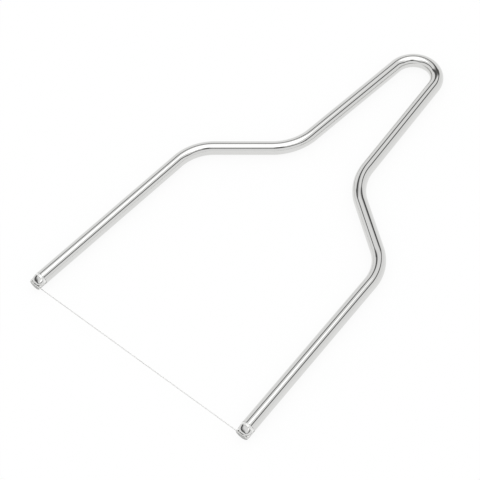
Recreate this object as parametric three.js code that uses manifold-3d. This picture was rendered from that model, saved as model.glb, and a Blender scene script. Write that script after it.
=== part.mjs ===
// Wire butter slicer: one springy bent rod, and a taut cutting wire clamped across its two tips.
// Millimetres. X runs across the slicer, Y from the tips to the handle, Z up from the table it lies on.
// The pieces are drawn with Y = 0 at the tips, and the whole is then centred on the origin.
import * as THREE from "three";
import { mergeVertices } from "three/addons/utils/BufferGeometryUtils.js";
import Module from "manifold-3d";

// Bent rod: the corners are those of its centreline before bending
const ROD_DIAMETER = 6;
const TIP_SPACING = 112.6;
const SHOULDER_CORNER_SPACING = 104;
const SHOULDER_CORNER_Y = 94.1;
const SHOULDER_BEND_RADIUS = 20;
const NECK_CORNER_SPACING = 32.4;
const NECK_CORNER_Y = 121.2;
const NECK_BEND_RADIUS = 23.2;
const HANDLE_BEND_RADIUS = 10.4;
const HANDLE_BEND_Y = 184.1;

// Lapped tip: the top of the rod is cut away down to a floor a little below its axis
const TIP_FLOOR_DROP = 0.5;
const TIP_LAP_LENGTH = 4.2;
const TIP_EDGE_ROUND = 0.3;

// Cutting wire
const WIRE_DIAMETER = 0.4;
const WIRE_BEHIND_TIP = 0.2;
const WIRE_LOOP_SLACK = 0.8;
const WIRE_LOOP_TURN = (3 * Math.PI) / 2;

// Clamp: a half-round saddle that presses the wire on the floor, pulled down by a screw from below
const CLAMP_DIAMETER = 5.8;
const CLAMP_NOSE_SETBACK = 0.5;
const CLAMP_NOSE_LENGTH = 2.3;
const CLAMP_GROOVE_DEPTH = 0.12;
const CLAMP_GROOVE_WIDTH = 0.3;
const CLAMP_EDGE_ROUND = 0.15;
const CLAMP_BORE_DEPTH = 1.55;
const SCREW_SHANK_DIAMETER = 1.6;
const SCREW_HEAD_DIAMETER = 2.6;
const SCREW_HEAD_HEIGHT = 0.95;
const SCREW_SLOT_WIDTH = 0.5;
const SCREW_SLOT_DEPTH = 0.45;
const SCREW_WEB_THICKNESS = 1.25;
const SCREW_END_GAP = 0.25;

// Clearances
const CLAMPED_GAP = 0.1;
const RADIAL_GAP = 0.25;
const LAP_END_GAP = 0.1;
const CUT_OVERRUN = 1;

// Facets
const ROD_SIDES = 32;
const ROD_BEND_STEP = Math.PI / 48;
const WIRE_SIDES = 10;
const WIRE_BEND_STEP = Math.PI / 12;
const TURNED_SIDES = 40;
const ROUND_STEPS = 6;
const NOSE_STEPS = 8;

// Sizes that follow from the ones above
const ROD_RADIUS = ROD_DIAMETER / 2;
const AXIS_Z = ROD_RADIUS;
const TIP_X = TIP_SPACING / 2;
const SHOULDER_CORNER_X = SHOULDER_CORNER_SPACING / 2;
const LEG_SPLAY = Math.atan2(TIP_X - SHOULDER_CORNER_X, SHOULDER_CORNER_Y);
const WIRE_RADIUS = WIRE_DIAMETER / 2;
const FLOOR_Z = AXIS_Z - TIP_FLOOR_DROP;
const WIRE_Z = FLOOR_Z + CLAMPED_GAP + WIRE_RADIUS;
const CLAMP_BASE_Z = FLOOR_Z + CLAMPED_GAP;
const CLAMP_RECESS_TOP_Z = WIRE_Z + WIRE_RADIUS + CLAMPED_GAP;
const CLAMP_RADIUS = CLAMP_DIAMETER / 2;
const CLAMP_END_Y = TIP_LAP_LENGTH - LAP_END_GAP;
const SHANK_RADIUS = SCREW_SHANK_DIAMETER / 2;
const HEAD_RADIUS = SCREW_HEAD_DIAMETER / 2;
const WIRE_LOOP_RADIUS = SHANK_RADIUS + WIRE_LOOP_SLACK + WIRE_RADIUS;
const CLAMP_RECESS_WIDTH = 2 * (WIRE_LOOP_RADIUS + WIRE_RADIUS + 2 * CLAMPED_GAP);
const SCREW_Y = WIRE_BEHIND_TIP + WIRE_LOOP_RADIUS;
const WEB_BOTTOM_Z = FLOOR_Z - SCREW_WEB_THICKNESS;
const HEAD_TOP_Z = WEB_BOTTOM_Z - CLAMPED_GAP;
const CLAMP_BORE_TOP_Z = CLAMP_RECESS_TOP_Z + CLAMP_BORE_DEPTH;
const SHANK_TOP_Z = CLAMP_BORE_TOP_Z - SCREW_END_GAP;

const wasm = await Module();
wasm.setup();

// A closed three.js geometry as a manifold-3d solid.
function solid(geometry) {
  const bare = geometry.clone();
  bare.deleteAttribute("normal");
  bare.deleteAttribute("uv");
  const merged = mergeVertices(bare, 1e-5);
  return new wasm.Manifold(
    new wasm.Mesh({
      numProp: 3,
      vertProperties: new Float32Array(merged.attributes.position.array),
      triVerts: new Uint32Array(merged.index.array),
    }),
  );
}

// A manifold-3d solid as a three.js geometry.
function geometryOf(body) {
  const { vertProperties, triVerts } = body.getMesh();
  const geometry = new THREE.BufferGeometry();
  geometry.setAttribute(
    "position",
    new THREE.BufferAttribute(vertProperties, 3),
  );
  geometry.setIndex(new THREE.BufferAttribute(triVerts, 1));
  geometry.computeVertexNormals();
  return geometry;
}

// Places along an arc in the XY plane, each with its direction of travel.
function arc(centre, radius, from, turn, step) {
  const count = Math.ceil(Math.abs(turn) / step);
  const way = Math.sign(turn);
  return Array.from({ length: count + 1 }, (_, i) => {
    const angle = from + (turn * i) / count;
    const out = new THREE.Vector2(Math.cos(angle), Math.sin(angle));
    return {
      at: centre.clone().addScaledVector(out, radius),
      along: new THREE.Vector2(-out.y * way, out.x * way),
    };
  });
}

// The bend of a given radius that rounds the corner at b between a and c.
function cornerBend(a, b, c, radius, step) {
  const into = b.clone().sub(a).normalize();
  const out = c.clone().sub(b).normalize();
  const turn = Math.atan2(into.cross(out), into.dot(out));
  const setback = radius * Math.tan(Math.abs(turn) / 2);
  const start = b.clone().addScaledVector(into, -setback);
  const side = new THREE.Vector2(-into.y, into.x).multiplyScalar(Math.sign(turn));
  const centre = start.clone().addScaledVector(side, radius);
  const from = Math.atan2(start.y - centre.y, start.x - centre.x);
  return arc(centre, radius, from, turn, step);
}

// A round rod swept along places in a level plane, closed by flat ends.
function sweepRod(places, radius, z, sides) {
  const positions = [];
  const faces = [];
  for (const { at, along } of places) {
    for (let k = 0; k < sides; k++) {
      const angle = (2 * Math.PI * k) / sides;
      const across = radius * Math.cos(angle);
      positions.push(
        at.x + along.y * across,
        at.y - along.x * across,
        z + radius * Math.sin(angle),
      );
    }
  }
  for (let i = 0; i + 1 < places.length; i++) {
    for (let k = 0; k < sides; k++) {
      const a = i * sides + k;
      const b = i * sides + ((k + 1) % sides);
      faces.push(a, b + sides, b, a, a + sides, b + sides);
    }
  }
  const last = (places.length - 1) * sides;
  for (let k = 1; k + 1 < sides; k++) {
    faces.push(0, k, k + 1, last, last + k + 1, last + k);
  }
  const geometry = new THREE.BufferGeometry();
  geometry.setAttribute(
    "position",
    new THREE.Float32BufferAttribute(positions, 3),
  );
  geometry.setIndex(faces);
  return geometry;
}

// Mirrors places across X = 0 and turns their order round.
function mirrored(places) {
  return places.toReversed().map(({ at, along }) => ({
    at: new THREE.Vector2(-at.x, at.y),
    along: new THREE.Vector2(along.x, -along.y),
  }));
}

// A round bar or bore standing on Z, from a low to a high level.
function upright(radius, x, y, low, high) {
  const geometry = new THREE.CylinderGeometry(
    radius,
    radius,
    high - low,
    TURNED_SIDES,
  );
  geometry.rotateX(Math.PI / 2);
  geometry.translate(x, y, (low + high) / 2);
  return solid(geometry);
}

function block(width, length, height, x, y, z) {
  const geometry = new THREE.BoxGeometry(width, length, height);
  geometry.translate(x, y, z);
  return solid(geometry);
}

// A body drawn on a leg that ends at the origin and runs along Y, put on the right (1) or left (-1) tip.
function onTip(body, side) {
  const turn = THREE.MathUtils.radToDeg(side * LEG_SPLAY);
  return body.rotate([0, 0, turn]).translate([side * TIP_X, 0, 0]);
}

// The rod's centreline, from the right tip round the handle to the left tip.
function rodCentreline() {
  const tip = new THREE.Vector2(TIP_X, 0);
  const shoulder = new THREE.Vector2(SHOULDER_CORNER_X, SHOULDER_CORNER_Y);
  const neck = new THREE.Vector2(NECK_CORNER_SPACING / 2, NECK_CORNER_Y);
  const bendCentre = new THREE.Vector2(0, HANDLE_BEND_Y);
  const toNeck = neck.clone().sub(bendCentre);
  const lean = Math.acos(HANDLE_BEND_RADIUS / toNeck.length());
  const from = Math.atan2(toNeck.y, toNeck.x) + lean;
  const half = arc(
    bendCentre,
    HANDLE_BEND_RADIUS,
    from,
    Math.PI / 2 - from,
    ROD_BEND_STEP,
  );
  const leg = shoulder.clone().sub(tip).normalize();
  const right = [
    { at: tip.clone().addScaledVector(leg, TIP_EDGE_ROUND), along: leg },
    ...cornerBend(tip, shoulder, neck, SHOULDER_BEND_RADIUS, ROD_BEND_STEP),
    ...cornerBend(shoulder, neck, half[0].at, NECK_BEND_RADIUS, ROD_BEND_STEP),
    ...half,
  ];
  return [...right, ...mirrored(right).slice(1)];
}

// What is cut from the rod at one tip: the lap, the screw's hole and the pocket for its head.
function tipCuts() {
  const lapLength = TIP_LAP_LENGTH + CUT_OVERRUN;
  const lapHeight = ROD_DIAMETER - FLOOR_Z + CUT_OVERRUN;
  const lap = block(
    ROD_DIAMETER + 2 * CUT_OVERRUN,
    lapLength,
    lapHeight,
    0,
    TIP_LAP_LENGTH - lapLength / 2,
    FLOOR_Z + lapHeight / 2,
  );
  const hole = upright(
    SHANK_RADIUS + RADIAL_GAP,
    0,
    SCREW_Y,
    -CUT_OVERRUN,
    ROD_DIAMETER,
  );
  const pocket = upright(
    HEAD_RADIUS + RADIAL_GAP,
    0,
    SCREW_Y,
    -CUT_OVERRUN,
    WEB_BOTTOM_Z,
  );
  return lap.add(hole).add(pocket);
}

// The rod's end with its rounded rim, up to where the sweep starts and a little into it.
function tipForm() {
  const profile = [new THREE.Vector2(0, 0)];
  for (let i = 0; i <= ROUND_STEPS; i++) {
    const angle = (Math.PI / 2) * (i / ROUND_STEPS);
    profile.push(
      new THREE.Vector2(
        ROD_RADIUS - TIP_EDGE_ROUND + TIP_EDGE_ROUND * Math.sin(angle),
        TIP_EDGE_ROUND - TIP_EDGE_ROUND * Math.cos(angle),
      ),
    );
  }
  profile.push(
    new THREE.Vector2(ROD_RADIUS, TIP_EDGE_ROUND + CUT_OVERRUN),
    new THREE.Vector2(0, TIP_EDGE_ROUND + CUT_OVERRUN),
  );
  const geometry = new THREE.LatheGeometry(profile, ROD_SIDES);
  geometry.translate(0, 0, AXIS_Z);
  return solid(geometry);
}

function bentRod() {
  const places = rodCentreline();
  let body = solid(sweepRod(places, ROD_RADIUS, AXIS_Z, ROD_SIDES));
  for (const side of [1, -1]) {
    body = body.add(onTip(tipForm(), side)).subtract(onTip(tipCuts(), side));
  }
  return body;
}

// The saddle: a turned bullet with a groove behind its nose, of which the upper half is kept.
// A recess along its base makes room for the wire and its loop.
function clampSaddle() {
  const profile = [];
  for (let i = 0; i <= NOSE_STEPS; i++) {
    const angle = (Math.PI / 2) * (i / NOSE_STEPS);
    profile.push(
      new THREE.Vector2(
        CLAMP_RADIUS * Math.sin(angle),
        CLAMP_NOSE_SETBACK + CLAMP_NOSE_LENGTH * (1 - Math.cos(angle)),
      ),
    );
  }
  const noseEnd = CLAMP_NOSE_SETBACK + CLAMP_NOSE_LENGTH;
  profile.push(
    new THREE.Vector2(
      CLAMP_RADIUS - CLAMP_GROOVE_DEPTH,
      noseEnd + CLAMP_GROOVE_WIDTH / 2,
    ),
    new THREE.Vector2(CLAMP_RADIUS, noseEnd + CLAMP_GROOVE_WIDTH),
  );
  for (let i = 0; i <= ROUND_STEPS; i++) {
    const angle = (Math.PI / 2) * (i / ROUND_STEPS);
    profile.push(
      new THREE.Vector2(
        CLAMP_RADIUS - CLAMP_EDGE_ROUND * (1 - Math.cos(angle)),
        CLAMP_END_Y - CLAMP_EDGE_ROUND * (1 - Math.sin(angle)),
      ),
    );
  }
  profile.push(new THREE.Vector2(0, CLAMP_END_Y));
  const turned = new THREE.LatheGeometry(profile, TURNED_SIDES);
  turned.translate(0, 0, AXIS_Z);
  const lowHalf = block(
    CLAMP_DIAMETER + 2 * CUT_OVERRUN,
    CLAMP_END_Y + 2 * CUT_OVERRUN,
    CLAMP_BASE_Z + CUT_OVERRUN,
    0,
    CLAMP_END_Y / 2,
    (CLAMP_BASE_Z - CUT_OVERRUN) / 2,
  );
  const recess = block(
    CLAMP_RECESS_WIDTH,
    CLAMP_END_Y + 2 * CUT_OVERRUN,
    CLAMP_RECESS_TOP_Z,
    0,
    CLAMP_END_Y / 2,
    CLAMP_RECESS_TOP_Z / 2,
  );
  const bore = upright(
    SHANK_RADIUS + RADIAL_GAP,
    0,
    SCREW_Y,
    0,
    CLAMP_BORE_TOP_Z,
  );
  return solid(turned).subtract(lowHalf).subtract(recess).subtract(bore);
}

// A slotted cheese-head screw, head down.
function clampScrew() {
  const headBottom = HEAD_TOP_Z - SCREW_HEAD_HEIGHT;
  const shank = upright(SHANK_RADIUS, 0, SCREW_Y, headBottom, SHANK_TOP_Z);
  const head = upright(HEAD_RADIUS, 0, SCREW_Y, headBottom, HEAD_TOP_Z);
  const slotHeight = SCREW_SLOT_DEPTH + CUT_OVERRUN;
  const slot = block(
    SCREW_HEAD_DIAMETER + 2 * CUT_OVERRUN,
    SCREW_SLOT_WIDTH,
    slotHeight,
    0,
    SCREW_Y,
    headBottom + SCREW_SLOT_DEPTH - slotHeight / 2,
  );
  return shank.add(head).subtract(slot);
}

// The wire: straight between the tips, with an open loop round each screw.
function cuttingWire() {
  const screw = new THREE.Vector2(0, SCREW_Y)
    .rotateAround(new THREE.Vector2(), LEG_SPLAY)
    .add(new THREE.Vector2(TIP_X, 0));
  const loop = arc(
    screw,
    WIRE_LOOP_RADIUS,
    -Math.PI / 2,
    WIRE_LOOP_TURN,
    WIRE_BEND_STEP,
  );
  return solid(
    sweepRod([...mirrored(loop), ...loop], WIRE_RADIUS, WIRE_Z, WIRE_SIDES),
  );
}

const polished = { color: 0xdfe2e4, roughness: 0.12, metalness: 1 };
const turnedSteel = { color: 0xc9ccce, roughness: 0.25, metalness: 1 };
const wireSteel = { color: 0xb9bcbe, roughness: 0.35, metalness: 1 };

function piece(name, body, finish) {
  const material = new THREE.MeshStandardMaterial(finish);
  const mesh = new THREE.Mesh(geometryOf(body), material);
  mesh.name = name;
  return mesh;
}

const assembly = new THREE.Group();
assembly.add(piece("bent_rod_frame", bentRod(), polished));
assembly.add(piece("cutting_wire", cuttingWire(), wireSteel));
for (const [name, side] of [
  ["left", -1],
  ["right", 1],
]) {
  const saddle = onTip(clampSaddle(), side);
  const screw = onTip(clampScrew(), side);
  assembly.add(piece(name + "_wire_clamp", saddle, turnedSteel));
  assembly.add(piece(name + "_clamp_screw", screw, turnedSteel));
}
const extent = new THREE.Box3().setFromObject(assembly);
assembly.position.y = -(extent.min.y + extent.max.y) / 2;

const slicer = new THREE.Group();
slicer.add(assembly);

export default slicer;
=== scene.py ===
"""A wire butter slicer of bent polished rod, lying on a pale table in soft studio light."""

import bpy
import numpy as np
from mathutils import Matrix, Vector


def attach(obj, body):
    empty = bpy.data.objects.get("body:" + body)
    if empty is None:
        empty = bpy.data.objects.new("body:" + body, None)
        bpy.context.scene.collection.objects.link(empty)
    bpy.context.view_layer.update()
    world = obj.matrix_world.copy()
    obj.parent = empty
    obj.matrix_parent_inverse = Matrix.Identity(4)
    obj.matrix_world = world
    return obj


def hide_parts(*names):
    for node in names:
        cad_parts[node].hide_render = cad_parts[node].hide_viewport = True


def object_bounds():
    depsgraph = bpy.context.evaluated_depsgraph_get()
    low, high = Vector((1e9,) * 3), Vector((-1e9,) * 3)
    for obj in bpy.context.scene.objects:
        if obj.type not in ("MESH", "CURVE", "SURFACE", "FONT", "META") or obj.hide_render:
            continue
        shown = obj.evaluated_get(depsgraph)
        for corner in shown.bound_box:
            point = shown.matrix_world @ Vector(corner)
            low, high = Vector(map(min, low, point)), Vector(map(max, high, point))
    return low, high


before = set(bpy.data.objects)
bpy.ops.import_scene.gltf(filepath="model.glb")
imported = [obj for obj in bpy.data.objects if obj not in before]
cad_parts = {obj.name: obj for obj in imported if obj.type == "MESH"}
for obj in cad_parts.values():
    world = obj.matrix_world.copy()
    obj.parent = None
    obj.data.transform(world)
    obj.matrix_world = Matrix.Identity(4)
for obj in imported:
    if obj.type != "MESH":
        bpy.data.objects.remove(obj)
cad_low, cad_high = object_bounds()

MM = 0.001

# Bent rod, in millimetres, as in the solid model
ROD_RADIUS = 3.0
AXIS_Z = 3.0
TIP_X = 56.3
SHOULDER_CORNER_X = 52.0
SHOULDER_CORNER_Y = 94.1
SHOULDER_BEND_RADIUS = 20.0
NECK_CORNER_X = 16.2
NECK_CORNER_Y = 121.2
NECK_BEND_RADIUS = 23.2
HANDLE_BEND_RADIUS = 10.4
HANDLE_BEND_Y = 184.1
LEG_SPLAY = np.arctan2(TIP_X - SHOULDER_CORNER_X, SHOULDER_CORNER_Y)

# The tips' place in the frame: the handle's far end touches the solid model's box
TIP_Y = cad_high[1] / MM - (HANDLE_BEND_Y + HANDLE_BEND_RADIUS + ROD_RADIUS)

# Lapped tip
FLOOR_Z = 2.5
LAP_LENGTH = 4.2
TIP_EDGE_ROUND = 0.3
TIP_RELIEF = 0.01

# Wire
WIRE_RADIUS = 0.2
WIRE_Z = 2.8
WIRE_LOOP_RADIUS = 1.8
SCREW_Y = 2.0

# Clamp
CLAMP_RADIUS = 2.9
CLAMP_BASE_Z = 2.6
CLAMP_RECESS_WIDTH = 4.4
CLAMP_RECESS_TOP_Z = 3.1
CLAMP_END_Y = 4.19
CLAMP_START_Y = 0.5
CLAMP_EDGE_ROUND = 0.08
LEDGE_Z = 3.1
COLLAR_Y = 3.0
NOSE_START_Y = 0.45
NOSE_HALF_WIDTH = 2.8
NOSE_FRONT_HEIGHT = 0.75
# Each nose's slope at its front and back. The left one being flatter is a guess from its shade in the photo
NOSE_SLOPES = {1: np.radians([30.0, 24.0]), -1: np.radians([27.5, 19.0])}
NOSE_PLAN_FULLNESS = 3.0
NOSE_FRONT_FULLNESS = 8.0
NOSE_TOP_FULLNESS = 3.2
NOSE_FIRST_STEP = 0.02
NOSE_OVERLAP = 0.1
THREAD_RADIUS = 0.85
THREAD_BOTTOM_Z = 0.5
THREAD_TOP_Z = 3.95
SCREW_HOLE_RADIUS = 1.05
SHANK_RADIUS = 0.8
SHANK_TOP_Z = 3.9
HEAD_RADIUS = 1.3
HEAD_TOP_Z = 1.15
HEAD_BOTTOM_Z = 0.2
WEB_BOTTOM_Z = 1.25
POCKET_RADIUS = 1.55
SLOT_WIDTH = 0.5
SLOT_DEPTH = 0.45
SCREW_EDGE = 0.08

# How far a cutting tool reaches past what it cuts, and the tools' half widths and far end. The cut faces
# take their UV map from the tools, so these sizes also place the fine lines on them
TOOL_MARGIN = 1.0
TOOL_REACH = ROD_RADIUS + TOOL_MARGIN
TOOL_END_Y = 6.0
SLOT_TOOL_REACH = 2.0

# The width over which one finish of the metal, with its painted colour, changes to the next
FINISH_AND_PAINT_EDGE = 0.02

# Fineness of the shown surfaces
ROD_SIDES = 96
TURNED_SIDES = 96
WIRE_SIDES = 32
NOSE_SIDES = 128
NOSE_STEPS = 48
EDGE_STEPS = 9
BEND_STEP = np.radians(1.0)
WIRE_LOOP_STEP = np.radians(5.0)


class Signal:
    """A shader socket. Arithmetic written on it adds the Math nodes."""

    def __init__(self, net, socket):
        self.net = net
        self.socket = socket

    def math(self, operation, *values):
        return self.net.node("ShaderNodeMath", {"operation": operation}, dict(enumerate(values)))

    def __add__(self, other):
        return self.math("ADD", self, other)

    def __radd__(self, other):
        return self.math("ADD", other, self)

    def __sub__(self, other):
        return self.math("SUBTRACT", self, other)

    def __rsub__(self, other):
        return self.math("SUBTRACT", other, self)

    def __mul__(self, other):
        return self.math("MULTIPLY", self, other)

    def __truediv__(self, other):
        return self.math("DIVIDE", self, other)


class Net:
    """The nodes of one material or world."""

    def __init__(self, owner):
        owner.use_nodes = True
        self.tree = owner.node_tree
        self.tree.nodes.clear()

    def node(self, kind, settings=None, sockets=None, output=0):
        """Adds a node, sets its settings, then its sockets' values or links, and returns one output."""
        made = self.tree.nodes.new(kind)
        for name, value in (settings or {}).items():
            setattr(made, name, value)
        for name, value in (sockets or {}).items():
            if isinstance(value, Signal):
                self.tree.links.new(value.socket, made.inputs[name])
            else:
                made.inputs[name].default_value = value
        return Signal(self, made.outputs[output]) if made.outputs else made


def unit(vectors):
    return vectors / np.linalg.norm(vectors, axis=-1, keepdims=True)


def arc(centre, radius, start, turn, step=BEND_STEP):
    """Points centre + radius (cos a, sin a) with their directions of travel, a going from start by turn."""
    count = int(np.ceil(abs(turn) / step)) + 1
    angle = start + turn * np.linspace(0, 1, count)
    out = np.stack([np.cos(angle), np.sin(angle)], axis=1)
    along = np.stack([-out[:, 1], out[:, 0]], axis=1) * np.sign(turn)
    return np.asarray(centre) + radius * out, along


def corner_bend(a, b, c, radius):
    """The arc that rounds corner b between a and c. It touches both lines radius * tan(turn / 2) from b."""
    a, b, c = (np.asarray(p, float) for p in (a, b, c))
    into = unit(b - a)
    out = unit(c - b)
    turn = np.arctan2(into[0] * out[1] - into[1] * out[0], into @ out)
    start = b - into * radius * np.tan(abs(turn) / 2)
    side = np.array([-into[1], into[0]]) * np.sign(turn)
    centre = start + side * radius
    first = np.arctan2(*(start - centre)[::-1])
    return arc(centre, radius, first, turn)


def skin(name, rings, distance, girth):
    """A closed form over rings of points, one after the other, with a flat face on the first and the last.
    The UV map holds the distance along the rings and the distance round each, in millimetres."""
    count, facets = rings.shape[:2]
    i, k = np.meshgrid(np.arange(count - 1), np.arange(facets), indexing="ij")
    after = (k + 1) % facets
    quads = np.stack(
        [i * facets + k, i * facets + after, (i + 1) * facets + after, (i + 1) * facets + k],
        axis=-1,
    ).reshape(-1, 4)
    low = np.stack([distance[i], k * girth], axis=-1)
    low_after = np.stack([distance[i], (k + 1) * girth], axis=-1)
    high_after = np.stack([distance[i + 1], (k + 1) * girth], axis=-1)
    high = np.stack([distance[i + 1], k * girth], axis=-1)
    uv = np.stack([low, low_after, high_after, high], axis=2).reshape(-1, 2)
    first = np.arange(facets)[::-1]
    last = (count - 1) * facets + np.arange(facets)
    loops = np.concatenate([quads.ravel(), first, last])
    starts = np.concatenate([np.arange(len(quads)) * 4, [len(quads) * 4, len(quads) * 4 + facets]])
    angle = np.linspace(0, 2 * np.pi, facets, endpoint=False)
    caps = np.stack([np.cos(angle), np.sin(angle)], axis=1) * girth * facets / (2 * np.pi)
    uv = np.concatenate([uv, caps[::-1], caps])
    mesh = bpy.data.meshes.new(name)
    mesh.vertices.add(rings.size // 3)
    mesh.vertices.foreach_set("co", (rings * MM).astype(np.float32).ravel())
    mesh.loops.add(len(loops))
    mesh.loops.foreach_set("vertex_index", loops.astype(np.int32))
    mesh.polygons.add(len(starts))
    mesh.polygons.foreach_set("loop_start", starts.astype(np.int32))
    mesh.uv_layers.new(name="surface").data.foreach_set("uv", uv.astype(np.float32).ravel())
    mesh.update(calc_edges=True)
    mesh.validate()
    made = bpy.data.objects.new(name, mesh)
    bpy.context.scene.collection.objects.link(made)
    return made


def sweep(name, centres, sides, ups, radii, facets):
    """A closed round form: ring i is centre i + radius i (cos a side i + sin a up i)."""
    centres = np.asarray(centres, float)
    radii = np.broadcast_to(np.asarray(radii, float), len(centres))
    angle = np.linspace(0, 2 * np.pi, facets, endpoint=False)
    round_ = (
        np.cos(angle)[None, :, None] * np.asarray(sides)[:, None, :]
        + np.sin(angle)[None, :, None] * np.asarray(ups)[:, None, :]
    )
    rings = centres[:, None, :] + radii[:, None, None] * round_
    distance = np.concatenate([[0], np.cumsum(np.linalg.norm(np.diff(centres, axis=0), axis=1))])
    return skin(name, rings, distance, radii.max() * angle[1])


def level_sweep(name, places, along, z, radii, facets):
    """A sweep along places in a level plane. The UV map's seam runs along the underside."""
    centres = np.column_stack([places, np.full(len(places), z)])
    across = np.column_stack([along[:, 1], -along[:, 0], np.zeros(len(along))])
    up = np.tile([0.0, 0.0, 1.0], (len(places), 1))
    return sweep(name, centres, -up, -across, radii, facets)


def turned(name, base, axis, heights, radii, facets=TURNED_SIDES):
    """A turned form: the radius at each height along an axis from its base point."""
    axis = unit(np.asarray(axis, float))
    side = np.array([1.0, 0.0, 0.0])
    up = np.cross(axis, side)
    count = len(heights)
    centres = np.asarray(base, float) + np.outer(heights, axis)
    return sweep(name, centres, np.tile(side, (count, 1)), np.tile(up, (count, 1)), radii, facets)


def block(name, low, high):
    """A box, as a square sweep: four facets turned by an eighth of a turn."""
    low = np.asarray(low, float)
    high = np.asarray(high, float)
    middle = (low + high) / 2
    half = (high - low) / 2
    side = np.array([half[0], half[1], 0.0])
    up = np.array([-half[0], half[1], 0.0])
    centres = np.array([[middle[0], middle[1], low[2]], [middle[0], middle[1], high[2]]])
    return sweep(name, centres, np.tile(side, (2, 1)), np.tile(up, (2, 1)), 1.0, 4)


def combine(piece, tools, operation):
    """Cuts the tools from the piece (DIFFERENCE) or joins them to it (UNION), and removes the tools."""
    for tool in tools:
        modifier = piece.modifiers.new("combine", "BOOLEAN")
        modifier.object = tool
        modifier.operation = operation
        modifier.solver = "EXACT"
    shown = piece.evaluated_get(bpy.context.evaluated_depsgraph_get())
    finished = bpy.data.meshes.new_from_object(shown)
    piece.modifiers.clear()
    piece.data = finished
    for tool in tools:
        bpy.data.objects.remove(tool)


def on_tip(piece, side):
    """Moves a form, drawn on a leg from the origin along Y, to the right (1) or left (-1) tip."""
    place = Matrix.Translation(Vector((side * TIP_X, TIP_Y, 0)) * MM)
    piece.data.transform(place @ Matrix.Rotation(side * LEG_SPLAY, 4, "Z"))
    return piece


def finish_surface(piece, angle=30.0):
    """Smooth shading, with edges sharper than the angle kept sharp."""
    mesh = piece.data
    mesh.polygons.foreach_set("use_smooth", np.ones(len(mesh.polygons), bool))
    mesh.set_sharp_from_angle(angle=np.radians(angle))
    mesh.update()


def rod_centreline():
    """The rod's line from the right tip round the handle to the left tip, with its directions."""
    tip = np.array([TIP_X, 0.0])
    shoulder = np.array([SHOULDER_CORNER_X, SHOULDER_CORNER_Y])
    neck = np.array([NECK_CORNER_X, NECK_CORNER_Y])
    bend_centre = np.array([0.0, HANDLE_BEND_Y])
    to_neck = neck - bend_centre
    lean = np.arccos(HANDLE_BEND_RADIUS / np.linalg.norm(to_neck))
    first = np.arctan2(to_neck[1], to_neck[0]) + lean
    handle, handle_along = arc(bend_centre, HANDLE_BEND_RADIUS, first, np.pi / 2 - first)
    outer, outer_along = corner_bend(tip, shoulder, neck, SHOULDER_BEND_RADIUS)
    inner, inner_along = corner_bend(shoulder, neck, handle[0], NECK_BEND_RADIUS)
    round_steps = np.linspace(0, np.pi / 2, EDGE_STEPS)
    rim = TIP_EDGE_ROUND * (1 - np.cos(round_steps))
    leg = unit(shoulder - tip)
    start = tip + rim[:, None] * leg
    start_along = np.tile(leg, (len(rim), 1))
    places = np.vstack([start, outer, inner, handle])
    along = np.vstack([start_along, outer_along, inner_along, handle_along])
    radii = np.full(len(places), ROD_RADIUS)
    radii[: len(rim)] -= TIP_RELIEF + TIP_EDGE_ROUND * (1 - np.sin(round_steps))
    other = places[::-1][1:] * [-1, 1]
    other_along = along[::-1][1:] * [1, -1]
    places = np.vstack([places, other])
    along = np.vstack([along, other_along])
    radii = np.concatenate([radii, radii[::-1][1:]])
    places[:, 1] += TIP_Y
    return places, along, radii


def screw_room():
    """The clearance hole and the pocket below it, as one turned tool."""
    low = -TOOL_MARGIN
    heights = np.array([low, WEB_BOTTOM_Z, WEB_BOTTOM_Z, FLOOR_Z + TOOL_MARGIN]) - low
    radii = [POCKET_RADIUS, POCKET_RADIUS, SCREW_HOLE_RADIUS, SCREW_HOLE_RADIUS]
    return turned("screw_room", (0, SCREW_Y, low), (0, 0, 1), heights, radii)


def make_rod():
    """The bent rod, with each tip cut down to a half-round tongue that has room for its screw."""
    places, along, radii = rod_centreline()
    rod = level_sweep("polished_rod_frame", places, along, AXIS_Z, radii, ROD_SIDES)
    tools = []
    for side in (1, -1):
        high = (TOOL_REACH, LAP_LENGTH, 2 * TOOL_REACH)
        lap = block("lap", (-TOOL_REACH, -TOOL_MARGIN, FLOOR_Z), high)
        tools.append(on_tip(lap, side))
        tools.append(on_tip(screw_room(), side))
    combine(rod, tools, "DIFFERENCE")
    finish_surface(rod)
    return rod


def make_nose(side):
    """The clamp's pillow-shaped nose. Its plan is half a superellipse, its top rises from the blunt front in
    a flat arc, and each section is a superellipse over a flat base."""
    back_y = COLLAR_Y + NOSE_OVERLAP
    step = np.linspace(NOSE_FIRST_STEP, 1, NOSE_STEPS) * np.pi / 2
    y = NOSE_START_Y + (back_y - NOSE_START_Y) * (1 - np.cos(step))
    length = back_y - NOSE_START_Y
    along = (y - NOSE_START_Y) / length
    plan = (1 - (1 - along) ** NOSE_PLAN_FULLNESS) ** (1 / NOSE_PLAN_FULLNESS)
    blunt = (1 - (1 - along) ** NOSE_FRONT_FULLNESS) ** (1 / NOSE_FRONT_FULLNESS)
    half_width = NOSE_HALF_WIDTH * plan
    front_rise, back_rise = np.tan(NOSE_SLOPES[side])
    slope = front_rise + (back_rise - front_rise) * along / 2
    height = (NOSE_FRONT_HEIGHT + slope * length * along) * blunt
    angle = np.linspace(0, 2 * np.pi, NOSE_SIDES, endpoint=False)
    power = 2 / NOSE_TOP_FULLNESS
    across = np.sign(np.cos(angle)) * np.abs(np.cos(angle)) ** power
    upward = np.where(np.sin(angle) > 0, np.abs(np.sin(angle)) ** power, 0)
    base_z = np.where(np.sin(angle) < -1e-6, CLAMP_BASE_Z + NOSE_OVERLAP, LEDGE_Z)
    rings = np.stack(
        [
            half_width[:, None] * across,
            np.repeat(y[:, None], NOSE_SIDES, axis=1),
            base_z + height[:, None] * upward,
        ],
        axis=-1,
    )
    return skin("nose", rings[:, ::-1], y, angle[1] * NOSE_HALF_WIDTH)


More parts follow.
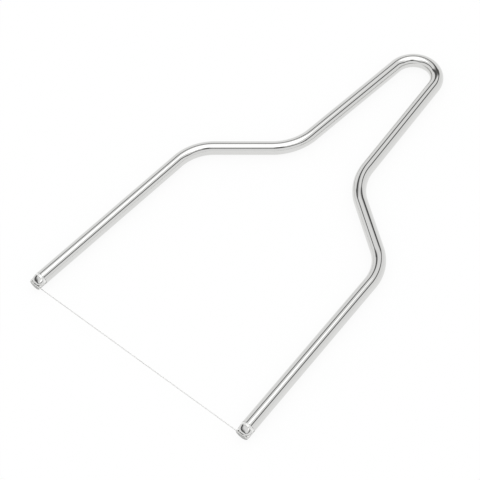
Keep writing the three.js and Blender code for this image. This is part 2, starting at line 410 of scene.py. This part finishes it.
def make_saddle(name, side):
    """The clamp: a half-round base and a full-height collar turned in one, with the nose on the base. Its
    low half is cut off, and its underside has a recess for the wire and a thread hole for the screw."""
    edge = np.linspace(0, np.pi / 2, EDGE_STEPS)
    front = CLAMP_START_Y + CLAMP_EDGE_ROUND * (1 - np.cos(edge))
    back = CLAMP_END_Y - CLAMP_EDGE_ROUND * (1 - np.sin(edge))
    heights = np.concatenate([front, back])
    radii = CLAMP_RADIUS - CLAMP_EDGE_ROUND * np.concatenate([1 - np.sin(edge), 1 - np.cos(edge)])
    saddle = turned(name, (0, 0, AXIS_Z), (0, 1, 0), heights, radii)
    half = CLAMP_RECESS_WIDTH / 2
    front_y = -TOOL_MARGIN
    high = (TOOL_REACH, COLLAR_Y, 2 * TOOL_REACH)
    over_ledge = block("over_ledge", (-TOOL_REACH, front_y, LEDGE_Z), high)
    high = (TOOL_REACH, TOOL_END_Y, CLAMP_BASE_Z)
    low_half = block("low_half", (-TOOL_REACH, front_y, -TOOL_MARGIN), high)
    low = (-half, front_y - TOOL_MARGIN, TOOL_MARGIN)
    recess = block("recess", low, (half, TOOL_END_Y + TOOL_MARGIN, CLAMP_RECESS_TOP_Z))
    depth = np.array([THREAD_BOTTOM_Z, THREAD_TOP_Z])
    thread = turned("thread", (0, SCREW_Y, 0), (0, 0, 1), depth, [THREAD_RADIUS] * 2)
    combine(saddle, [over_ledge], "DIFFERENCE")
    combine(saddle, [make_nose(side)], "UNION")
    combine(saddle, [low_half, recess, thread], "DIFFERENCE")
    on_tip(saddle, side)
    finish_surface(saddle)
    return saddle


def make_screw(name, side):
    """A slotted cheese-head screw, head down, with its edges broken."""
    edge = SCREW_EDGE
    head = HEAD_TOP_Z - HEAD_BOTTOM_Z
    length = SHANK_TOP_Z - HEAD_BOTTOM_Z
    heights = np.array([0, edge, head - edge, head, head, length - edge, length])
    radii = [
        HEAD_RADIUS - edge,
        HEAD_RADIUS,
        HEAD_RADIUS,
        HEAD_RADIUS - edge,
        SHANK_RADIUS,
        SHANK_RADIUS,
        SHANK_RADIUS - edge,
    ]
    screw = turned(name, (0, SCREW_Y, HEAD_BOTTOM_Z), (0, 0, 1), heights, radii)
    slot = block(
        "slot",
        (-SLOT_TOOL_REACH, SCREW_Y - SLOT_WIDTH / 2, HEAD_BOTTOM_Z - TOOL_MARGIN),
        (SLOT_TOOL_REACH, SCREW_Y + SLOT_WIDTH / 2, HEAD_BOTTOM_Z + SLOT_DEPTH),
    )
    combine(screw, [slot], "DIFFERENCE")
    on_tip(screw, side)
    finish_surface(screw)
    return screw


def make_wire():
    """The wire: straight between the tips, with three quarters of a turn round each screw."""
    screw = (
        TIP_X - SCREW_Y * np.sin(LEG_SPLAY),
        TIP_Y + SCREW_Y * np.cos(LEG_SPLAY),
    )
    loop, along = arc(screw, WIRE_LOOP_RADIUS, -np.pi / 2, 1.5 * np.pi, WIRE_LOOP_STEP)
    places = np.vstack([loop[::-1] * [-1, 1], loop])
    along = np.vstack([along[::-1] * [1, -1], along])
    wire = level_sweep("taut_cutting_wire", places, along, WIRE_Z, WIRE_RADIUS, WIRE_SIDES)
    finish_surface(wire)
    return wire


def tip_distance(net, place):
    """Distance in metres from the nearer tip's end face, along its leg, of a place on the slicer."""
    x = net.node("ShaderNodeSeparateXYZ", None, {"Vector": place}, "X")
    y = net.node("ShaderNodeSeparateXYZ", None, {"Vector": place}, "Y")
    out = x.math("ABSOLUTE", x) - TIP_X * MM
    return (y - TIP_Y * MM) * float(np.cos(LEG_SPLAY)) - out * float(np.sin(LEG_SPLAY))


def step_down(net, value, low, high):
    """One below low, zero above high, and a smooth change between them."""
    return net.node(
        "ShaderNodeMapRange",
        {"interpolation_type": "SMOOTHSTEP"},
        {"Value": value, "From Min": low, "From Max": high, "To Min": 1.0, "To Max": 0.0},
    )


def metal(name, shade, roughness, variation, scale, rough_painted_parts=()):
    """Bare bright metal whose roughness varies in soft patches and in fine lines along the piece. Each part
    in the list is a mask, made from the distance to the tip's end face and the height, with that part's
    added
    roughness and its painted colour: lighter than the metal for painted light, darker for painted shade."""
    material = bpy.data.materials.new(name)
    net = Net(material)
    place = net.node("ShaderNodeTexCoord", output="Object")
    patches = net.node(
        "ShaderNodeTexNoise", None, {"Vector": place, "Scale": scale, "Detail": 3.0}, "Fac"
    )
    surface = net.node("ShaderNodeUVMap", {"uv_map": "surface"})
    stretched = net.node(
        "ShaderNodeMapping", None, {"Vector": surface, "Scale": (0.05, 12.0, 1.0)}
    )
    lines = net.node(
        "ShaderNodeTexNoise", None, {"Vector": stretched, "Scale": 1.0, "Detail": 4.0}, "Fac"
    )
    rough = roughness + (patches - 0.5) * variation + (lines - 0.5) * variation
    bump = net.node(
        "ShaderNodeBump",
        None,
        {"Height": lines, "Strength": 0.05, "Distance": 0.00001},
    )
    tint = net.node(
        "ShaderNodeMix",
        {"data_type": "RGBA"},
        {6: (*shade, 1), 7: (*(c * 0.93 for c in shade), 1), "Factor": patches},
        2,
    )
    if rough_painted_parts:
        distance = tip_distance(net, place)
        height = net.node("ShaderNodeSeparateXYZ", None, {"Vector": place}, "Z")
    # Each part blends in its painted colour, a lighter grey for painted light and a dark grey for painted
    # shade, and adds its roughness
    for mask, painted_colour, dullness in rough_painted_parts:
        rough_painted_mask = mask(net, distance, height)
        tint = net.node(
            "ShaderNodeMix", {"data_type": "RGBA"}, {6: tint, 7: (*painted_colour, 1), "Factor": rough_painted_mask}, 2
        )
        rough = rough + rough_painted_mask * dullness
    shader = net.node(
        "ShaderNodeBsdfPrincipled",
        None,
        {"Base Color": tint, "Metallic": 1.0, "Roughness": rough, "Normal": bump},
    )
    net.node("ShaderNodeOutputMaterial", None, {"Surface": shader})
    return material


def dress(piece, node, material):
    """Puts a material on a piece that stands for a CAD node."""
    piece.data.materials.clear()
    piece.data.materials.append(material)
    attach(piece, "root")
    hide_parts(node)


def sawn_end_painted_shade(net, distance, height):
    """The end face of the rod at each tip: rougher, and painted dark grey as painted shade."""
    return step_down(net, distance, FINISH_AND_PAINT_EDGE * MM, 3 * FINISH_AND_PAINT_EDGE * MM)


def milled_floor_painted_light(net, distance, height):
    """The level floor of each tongue, up to the lap's wall: rougher, with painted light, a lighter grey than
    the rod's metal.
    """
    near, far = 1.5 * FINISH_AND_PAINT_EDGE, 3 * FINISH_AND_PAINT_EDGE
    low = step_down(net, height, (FLOOR_Z - far) * MM, (FLOOR_Z - near) * MM)
    high = step_down(net, height, (FLOOR_Z + near) * MM, (FLOOR_Z + far) * MM)
    return step_down(net, distance, (LAP_LENGTH - FINISH_AND_PAINT_EDGE) * MM, LAP_LENGTH * MM) * high * (1 - low)


def saddle_base_painted_light(net, distance, height):
    """The saddle up to its ledge: rougher, with painted light, a lighter grey than the rest of the saddle.
    """
    return step_down(net, height, (LEDGE_Z + FINISH_AND_PAINT_EDGE) * MM, (LEDGE_Z + 4 * FINISH_AND_PAINT_EDGE) * MM)


def saddle_collar_painted_light(net, distance, height):
    """The saddle's collar, behind the nose: rougher, with painted light, a lighter grey than the rest of the
    saddle.
    """
    return 1 - step_down(net, distance, (COLLAR_Y - FINISH_AND_PAINT_EDGE) * MM, (COLLAR_Y + FINISH_AND_PAINT_EDGE) * MM)


# The rod's end faces carry painted shade, a dark grey, and the tongues' floors carry painted light, a
# lighter grey, both with added roughness
rod_metal = metal(
    "polished_rod_metal",
    shade=(0.68, 0.68, 0.67),
    roughness=0.05,
    variation=0.03,
    scale=60.0,
    rough_painted_parts=[(milled_floor_painted_light, (0.80, 0.80, 0.79), 0.5), (sawn_end_painted_shade, (0.38, 0.38, 0.37), 0.3)],
)
# The saddle's collar and base carry painted light, a lighter grey than the rest of the saddle, with added
# roughness
saddle_metal = metal(
    "turned_saddle_metal",
    shade=(0.70, 0.70, 0.69),
    roughness=0.10,
    variation=0.05,
    scale=400.0,
    rough_painted_parts=[(saddle_collar_painted_light, (0.85, 0.85, 0.84), 0.4), (saddle_base_painted_light, (0.80, 0.80, 0.79), 0.5)],
)
wire_metal = metal(
    "drawn_wire_metal", shade=(0.80, 0.80, 0.79), roughness=0.42, variation=0.08, scale=800.0
)
screw_metal = metal(
    "turned_screw_metal", shade=(0.62, 0.62, 0.62), roughness=0.22, variation=0.08, scale=800.0
)

dress(make_rod(), "bent_rod_frame", rod_metal)
dress(make_wire(), "cutting_wire", wire_metal)
for word, side in (("left", -1), ("right", 1)):
    dress(make_saddle(word + "_saddle", side), word + "_wire_clamp", saddle_metal)
    dress(make_screw(word + "_screw", side), word + "_clamp_screw", screw_metal)


# The table. It gives off most of its brightness itself, so that the ground is as white as the photo's
TABLE_HALF = 3000.0
TABLE_SHADE = 0.12
TABLE_GLOW_SEEN = 0.88
TABLE_GLOW_MIRRORED = 0.94


def make_floor():
    """A wide pale table top at the level that the slicer lies on."""
    half = TABLE_HALF
    corners = np.array([[-half, -half, 0], [half, -half, 0], [half, half, 0], [-half, half, 0]])
    mesh = bpy.data.meshes.new("table_top")
    mesh.from_pydata((corners * MM).tolist(), [], [(0, 1, 2, 3)])
    floor = bpy.data.objects.new("table_top", mesh)
    bpy.context.scene.collection.objects.link(floor)
    material = bpy.data.materials.new("pale_table")
    net = Net(material)
    rays = net.node("ShaderNodeLightPath")
    seen = Signal(net, rays.socket.node.outputs["Is Camera Ray"])
    mirrored = Signal(net, rays.socket.node.outputs["Is Glossy Ray"])
    glow = seen * TABLE_GLOW_SEEN + mirrored * TABLE_GLOW_MIRRORED
    lit = net.node("ShaderNodeBsdfDiffuse", None, {"Color": (TABLE_SHADE,) * 3 + (1,)})
    own = net.node("ShaderNodeEmission", None, {"Color": (1, 1, 1, 1), "Strength": glow})
    both = net.node("ShaderNodeAddShader", None, {0: lit, 1: own})
    net.node("ShaderNodeOutputMaterial", None, {"Surface": both})
    mesh.materials.append(material)


# The camera, from a fit of its view to the rod's edges in the photo: azimuth from -Y towards +X, elevation
# and roll in degrees, the rest in millimetres
CAMERA_AZIMUTH = 46.272
CAMERA_ELEVATION = 54.01
CAMERA_ROLL = -7.072
CAMERA_DISTANCE = 623.94
CAMERA_TARGET = np.array([-3.505, 69.047 + TIP_Y, AXIS_Z])
CAMERA_LENS = 112.5
CAMERA_SENSOR = 36.0

# The studio, as seen in the metal: an evenly lit tent that stands square to the camera, with one softbox
# straight overhead, a dark gap between its roof and each wall, and the opening that the camera looks in
# through. Half sizes and edges are shares of a panel's distance
TENT_LEVEL = 1.0
SOFTBOX_LEVEL = 2.0
DARK_LEVEL = 0.1
PANEL_EDGE = 0.1
SOFTBOX_HALF = 0.4
GAP_ELEVATION = 45.0
GAP_HALF_WIDTH = 0.9
GAP_HALF_HEIGHT = 0.1
OPENING_HALF = 0.1

# A panel is left out where a ray runs less than this share towards its middle
LEAST_AHEAD = 0.02


def studio_panels():
    """Each panel's direction clockwise from +Y, elevation, half width, half height and brightness."""
    facing = 180.0 - CAMERA_AZIMUTH
    panels = [(facing, 90.0, SOFTBOX_HALF, SOFTBOX_HALF, SOFTBOX_LEVEL)]
    for wall in range(4):
        panels.append((facing + 90.0 * wall, GAP_ELEVATION, GAP_HALF_WIDTH, GAP_HALF_HEIGHT, DARK_LEVEL))
    panels.append((facing, CAMERA_ELEVATION, OPENING_HALF, OPENING_HALF, DARK_LEVEL))
    return panels


def direction(azimuth, elevation):
    """The unit vector at degrees clockwise from +Y and degrees above the table."""
    azimuth, elevation = np.radians([azimuth, elevation])
    return np.array(
        [
            np.sin(azimuth) * np.cos(elevation),
            np.cos(azimuth) * np.cos(elevation),
            np.sin(elevation),
        ]
    )


def panel_mask(net, ray, azimuth, elevation, half_width, half_height):
    """One inside a flat panel and zero outside it, where the ray meets the panel's plane."""
    middle = direction(azimuth, elevation)
    across = np.array([np.cos(np.radians(azimuth)), -np.sin(np.radians(azimuth)), 0.0])
    upward = np.cross(across, middle)

    def along(axis):
        return net.node(
            "ShaderNodeVectorMath",
            {"operation": "DOT_PRODUCT"},
            {0: ray, 1: tuple(float(v) for v in axis)},
            "Value",
        )

    ahead = along(middle)
    inside = ahead.math("GREATER_THAN", ahead, LEAST_AHEAD)
    safe = ahead.math("MAXIMUM", ahead, LEAST_AHEAD)
    for axis, half in ((across, half_width), (upward, half_height)):
        off = along(axis) / safe
        away = off.math("ABSOLUTE", off)
        edge = net.node(
            "ShaderNodeMapRange",
            {"interpolation_type": "SMOOTHSTEP"},
            {
                "Value": away,
                "From Min": half - PANEL_EDGE / 2,
                "From Max": half + PANEL_EDGE / 2,
                "To Min": 1.0,
                "To Max": 0.0,
            },
        )
        inside = inside * edge
    return inside


def make_world():
    """The tent and its panels, for the metal alone. The camera and the table's light see plain white."""
    world = bpy.data.worlds.new("studio")
    bpy.context.scene.world = world
    net = Net(world)
    ray = net.node("ShaderNodeTexCoord", output="Generated")
    studio = TENT_LEVEL
    for *shape, level in studio_panels():
        mask = panel_mask(net, ray, *shape)
        studio = (1 - mask) * studio + mask * level
    rays = net.node("ShaderNodeLightPath", output="Is Glossy Ray")
    strength = rays * studio + (1 - rays)
    light = net.node("ShaderNodeBackground", None, {"Color": (1, 1, 1, 1), "Strength": strength})
    net.node("ShaderNodeOutputWorld", None, {"Surface": light})


def make_camera():
    """The photograph's view, in the frame whose origin lies on the table under the slicer's middle."""
    azimuth, elevation, roll = np.radians([CAMERA_AZIMUTH, CAMERA_ELEVATION, CAMERA_ROLL])
    back = np.array(
        [
            np.sin(azimuth) * np.cos(elevation),
            -np.cos(azimuth) * np.cos(elevation),
            np.sin(elevation),
        ]
    )
    level = np.array([np.cos(azimuth), np.sin(azimuth), 0.0])
    above = np.cross(back, level)
    right = level * np.cos(roll) + above * np.sin(roll)
    up = -level * np.sin(roll) + above * np.cos(roll)
    place = (CAMERA_TARGET + back * CAMERA_DISTANCE) * MM
    data = bpy.data.cameras.new("photo_camera")
    data.sensor_width = CAMERA_SENSOR
    data.lens = CAMERA_LENS
    data.clip_start = 0.01
    data.clip_end = 50.0
    camera = bpy.data.objects.new("photo_camera", data)
    bpy.context.scene.collection.objects.link(camera)
    turn = Matrix((right, up, back)).transposed().to_4x4()
    camera.matrix_world = Matrix.Translation(Vector(place)) @ turn
    bpy.context.scene.camera = camera


make_floor()
make_world()
make_camera()
bpy.context.scene.view_settings.view_transform = "Standard"
